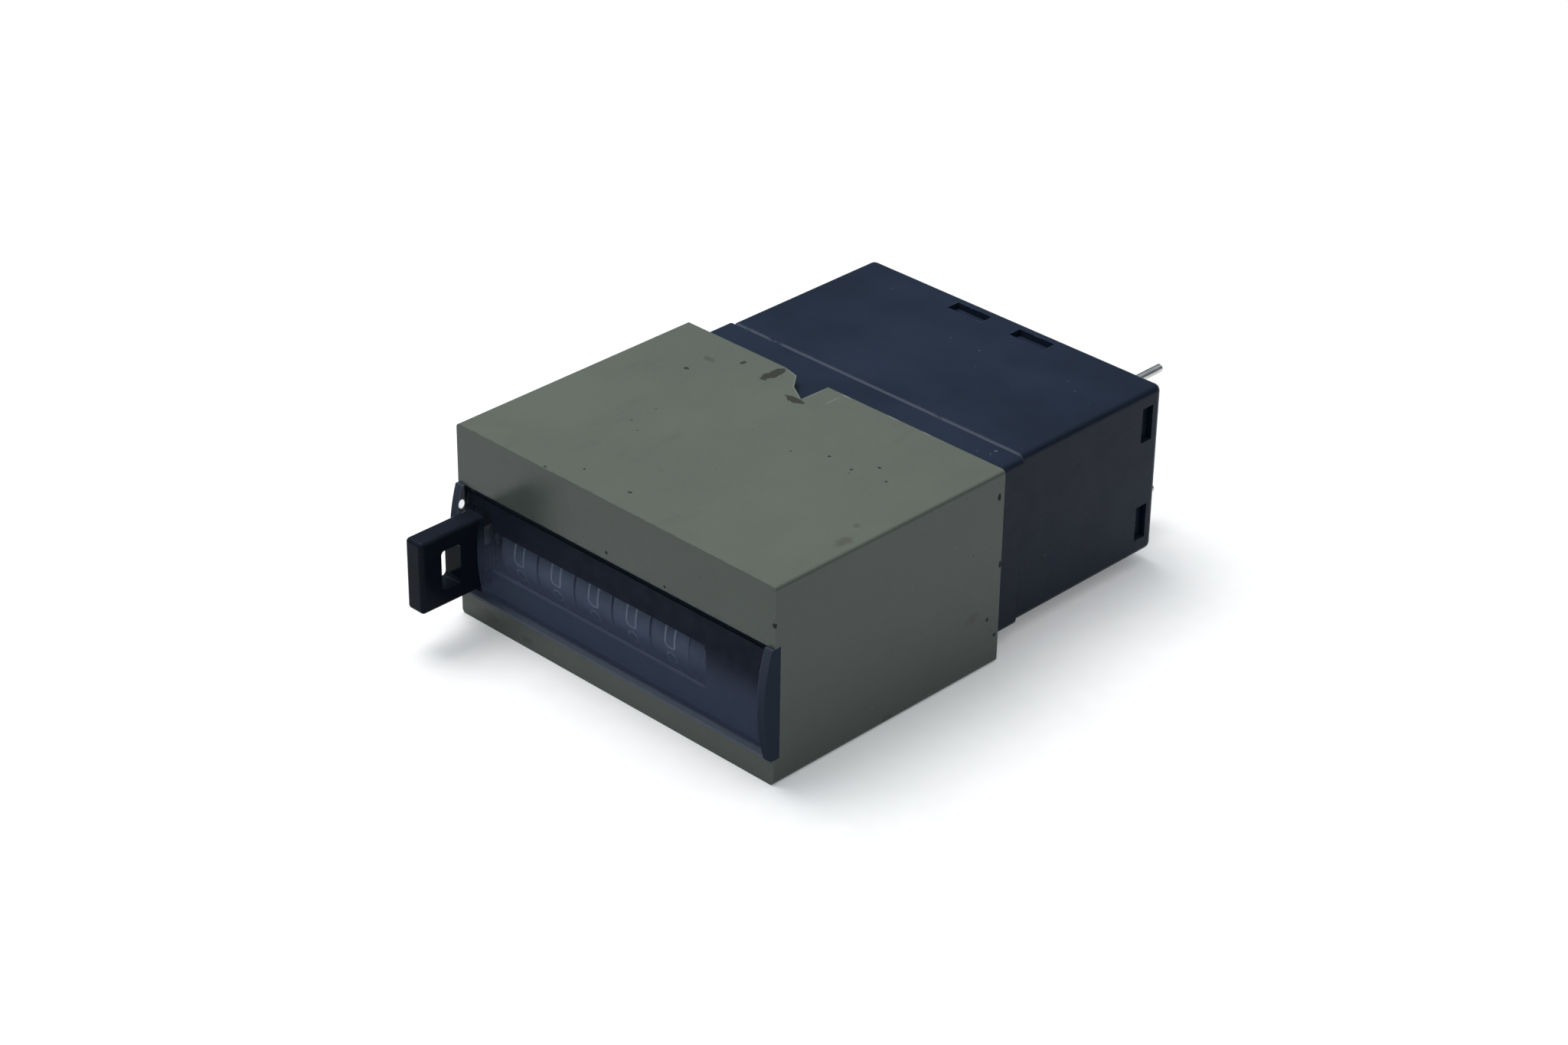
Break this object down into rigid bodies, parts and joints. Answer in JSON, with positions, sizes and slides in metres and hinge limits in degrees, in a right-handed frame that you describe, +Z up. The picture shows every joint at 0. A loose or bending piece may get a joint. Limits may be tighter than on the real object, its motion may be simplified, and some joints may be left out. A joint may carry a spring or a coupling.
{
  "type": "pulse counter",
  "caption": "Electromagnetic panel pulse counter with a row of number drums behind a lens and a push key that resets it.",
  "frame": {"origin": "centre of the underside of the front sleeve", "axes": "+Z up, -Y out of the dial, +X to the right as the dial is read"},
  "size_m": [0.048, 0.0793, 0.0237],
  "materials": {
    "sleeve_paint": "satin grey green paint, chipped and scuffed",
    "clear_lens": "clear moulded plastic, slightly smoky",
    "mask_black": "matt black",
    "case_plastic": "fine satin blue black",
    "key_black": "polished black",
    "drum_plastic": "satin, with printed white digits",
    "pinion_plastic": "natural moulded",
    "frame_plastic": "satin",
    "sheet_steel": "rolled",
    "bright_steel": "ground",
    "soft_iron": "zinc plated",
    "bobbin_plastic": "natural moulded",
    "copper_winding": "enamelled wire",
    "lead_insulation": "satin",
    "tinned_pin": "tin plated"
  },
  "bodies": {
    "case": {"armature_pin": "bright_steel", "armature_spring": "bright_steel", "bridge_plate": "frame_plastic", "carrier_comb": "frame_plastic", "coil_bobbin": "bobbin_plastic", "coil_core": "soft_iron", "coil_lead_lower": "lead_insulation", "coil_lead_upper": "lead_insulation", "coil_winding": "copper_winding", "coil_yoke": "soft_iron", "core_screw": "bright_steel", "dial_mask": "mask_black", "front_case": "case_plastic", "front_lens": "clear_lens", "front_sleeve": "sleeve_paint", "left_cheek": "sheet_steel", "pinion_carrier_1": "sheet_steel", "pinion_carrier_2": "sheet_steel", "pinion_carrier_3": "sheet_steel", "pinion_carrier_4": "sheet_steel", "rear_case": "case_plastic", "rear_cover": "case_plastic", "reset_spring": "bright_steel", "right_cheek": "frame_plastic", "terminal_pin_lower": "tinned_pin", "terminal_pin_upper": "tinned_pin"},
    "number_drum_1": {"number_drum_1": "drum_plastic"},
    "number_drum_2": {"number_drum_2": "drum_plastic"},
    "number_drum_3": {"number_drum_3": "drum_plastic"},
    "number_drum_4": {"number_drum_4": "drum_plastic"},
    "number_drum_5": {"number_drum_5": "drum_plastic", "star_wheel": "pinion_plastic"},
    "transfer_pinion_1": {"transfer_pinion_1": "pinion_plastic"},
    "transfer_pinion_2": {"transfer_pinion_2": "pinion_plastic"},
    "transfer_pinion_3": {"transfer_pinion_3": "pinion_plastic"},
    "transfer_pinion_4": {"transfer_pinion_4": "pinion_plastic"},
    "reset_key": {"reset_key": "key_black", "reset_slider": "sheet_steel"},
    "reset_shaft": {"drum_shaft": "bright_steel", "reset_gear": "bright_steel"},
    "armature": {"armature": "soft_iron", "verge": "pinion_plastic"}
  },
  "joints": [
    {"name": "reset_key", "type": "slide", "parent": "case", "child": "reset_key", "axis": [0, 1, 0], "range_m": [0, 0.00653], "stiffness_N_per_m": 60, "springref_m": -0.012, "deforming": ["reset_spring"]},
    {"name": "reset_shaft", "type": "hinge", "parent": "case", "child": "reset_shaft", "pos_m": [0, -0.0093, 0.009], "axis": [1, 0, 0], "range_deg": [-360.5, 0.5]},
    {"name": "armature", "type": "hinge", "parent": "case", "child": "armature", "pos_m": [0.0057, -0.0001, 0.0182], "axis": [1, 0, 0], "range_deg": [0, 3.5], "stiffness_Nm_per_rad": 0.004, "springref_deg": -20.05, "deforming": ["armature_spring"]},
    {"name": "units_drum", "type": "hinge", "parent": "case", "child": "number_drum_5", "pos_m": [0.00695, -0.0093, 0.009], "axis": [1, 0, 0], "continuous": true},
    {"name": "tens_drum", "type": "hinge", "parent": "case", "child": "number_drum_4", "pos_m": [0.0011, -0.0093, 0.009], "axis": [1, 0, 0], "continuous": true},
    {"name": "hundreds_drum", "type": "hinge", "parent": "case", "child": "number_drum_3", "pos_m": [-0.00475, -0.0093, 0.009], "axis": [1, 0, 0], "continuous": true},
    {"name": "thousands_drum", "type": "hinge", "parent": "case", "child": "number_drum_2", "pos_m": [-0.0106, -0.0093, 0.009], "axis": [1, 0, 0], "continuous": true},
    {"name": "ten_thousands_drum", "type": "hinge", "parent": "case", "child": "number_drum_1", "pos_m": [-0.01645, -0.0093, 0.009], "axis": [1, 0, 0], "continuous": true},
    {"name": "transfer_pinion_4", "type": "hinge", "parent": "case", "child": "transfer_pinion_4", "pos_m": [0.00402, -0.00702, 0.00672], "axis": [1, 0, 0], "continuous": true},
    {"name": "transfer_pinion_3", "type": "hinge", "parent": "case", "child": "transfer_pinion_3", "pos_m": [-0.00183, -0.00702, 0.00672], "axis": [1, 0, 0], "continuous": true},
    {"name": "transfer_pinion_2", "type": "hinge", "parent": "case", "child": "transfer_pinion_2", "pos_m": [-0.00768, -0.00702, 0.00672], "axis": [1, 0, 0], "continuous": true},
    {"name": "transfer_pinion_1", "type": "hinge", "parent": "case", "child": "transfer_pinion_1", "pos_m": [-0.01353, -0.00702, 0.00672], "axis": [1, 0, 0], "continuous": true}
  ],
  "couplings": [
    {"joint": "reset_shaft", "follows": "reset_key", "rad_per_m": -961.54},
    {"joint": "tens_drum", "follows": "units_drum", "ratio": 0.1},
    {"joint": "hundreds_drum", "follows": "units_drum", "ratio": 0.01},
    {"joint": "thousands_drum", "follows": "units_drum", "ratio": 0.001},
    {"joint": "ten_thousands_drum", "follows": "units_drum", "ratio": 0.0001},
    {"joint": "transfer_pinion_4", "follows": "units_drum", "ratio": 0.33333},
    {"joint": "transfer_pinion_3", "follows": "units_drum", "ratio": 0.033333},
    {"joint": "transfer_pinion_2", "follows": "units_drum", "ratio": 0.0033333},
    {"joint": "transfer_pinion_1", "follows": "units_drum", "ratio": 0.00033333}
  ]
}
